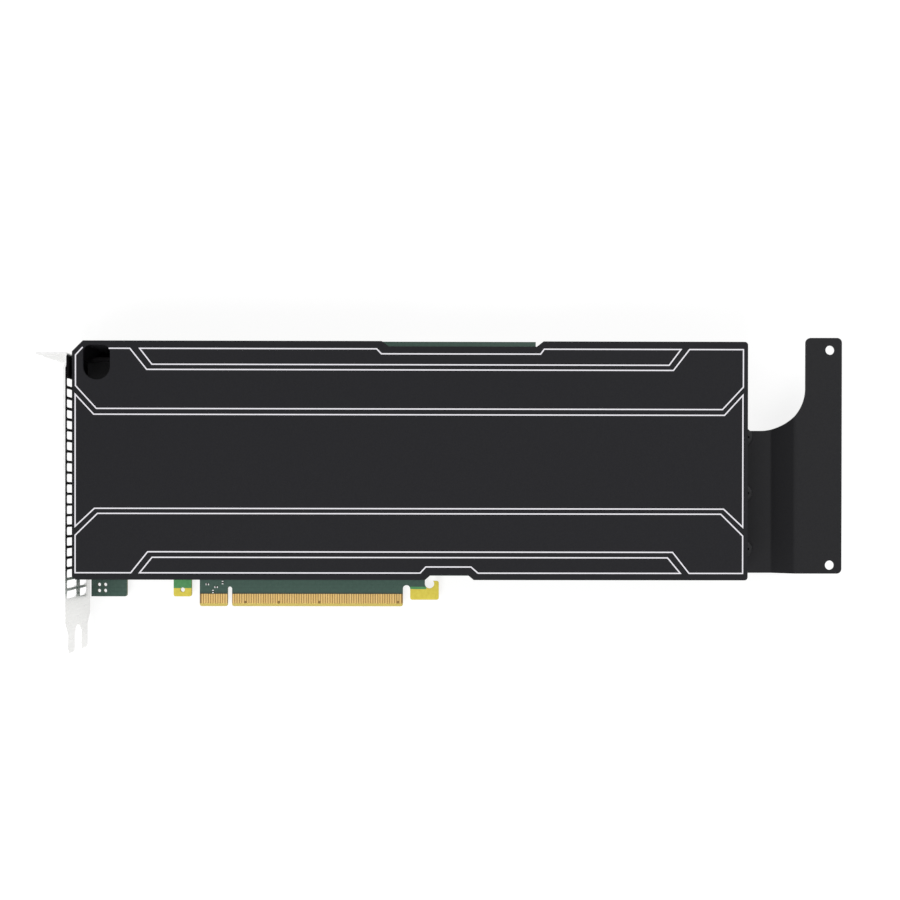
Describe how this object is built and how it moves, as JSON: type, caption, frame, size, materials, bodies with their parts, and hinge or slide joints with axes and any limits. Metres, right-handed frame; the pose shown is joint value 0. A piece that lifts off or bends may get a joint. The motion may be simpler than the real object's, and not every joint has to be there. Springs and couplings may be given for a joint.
{
  "type": "passive accelerator card",
  "caption": "Long dual-slot accelerator card with a flat fanless cover, vented bracket, card-edge contacts and a folded tail bracket for a server guide.",
  "frame": {"origin": "middle of the key notch, on the lower edge of the contacts, on the component face of the board", "axes": "+X along the card from the bracket to the tail, +Y from the contacts to the top edge, +Z out of the component face; the card lies on its back"},
  "size_m": [0.3234, 0.1278, 0.0387],
  "materials": {
    "board": "green solder mask over glass laminate",
    "gold": "gold plated contacts",
    "bracket_metal": "bright nickel plated steel",
    "cover_black": "fine matt black with pale pinstripes",
    "cast_black": "black anodised casting",
    "package": "green package substrate",
    "silicon": "polished silicon",
    "chip_black": "moulded epoxy",
    "thermal_pad": "soft grey pad",
    "copper": "bare copper",
    "fin_aluminium": "bare rolled sheet",
    "spring_steel": "stamped spring steel",
    "insulator": "black film",
    "screw_steel": "nickel plated",
    "screw_black": "black zinc",
    "ferrite": "pressed iron powder",
    "can_aluminium": "drawn can",
    "inlet_black": "moulded nylon",
    "tin": "tin plated",
    "sheet_black": "black powder coat",
    "resistor": "chip parts with tinned ends"
  },
  "bodies": {
    "root": {"pcb": "board", "edge_contacts_front": "gold", "edge_contacts_back": "gold", "io_bracket": "bracket_metal", "shroud": "cover_black", "base_plate": "cast_black", "gpu_substrate_1": "package", "gpu_substrate_2": "package", "gpu_die_1": "silicon", "gpu_die_2": "silicon", "bridge_chip": "chip_black", "memory_chips_front": "chip_black", "memory_chips_back": "chip_black", "power_mosfets": "chip_black", "bridge_pad": "thermal_pad", "memory_pads": "thermal_pad", "mosfet_pads": "thermal_pad", "cold_plate_1": "copper", "cold_plate_2": "copper", "fin_stack_1": "fin_aluminium", "fin_stack_2": "fin_aluminium", "retention_spring_1": "spring_steel", "retention_spring_2": "spring_steel", "spring_insulators": "insulator", "heatsink_screws": "screw_steel", "base_screws": "screw_steel", "bracket_screws": "screw_steel", "shroud_screws": "screw_black", "extender_screws": "screw_black", "power_chokes": "ferrite", "power_capacitors": "can_aluminium", "power_inlet_8pin": "inlet_black", "power_inlet_6pin": "inlet_black", "power_pins": "tin", "extender_bracket": "sheet_black", "edge_resistors": "resistor"}
  },
  "joints": []
}
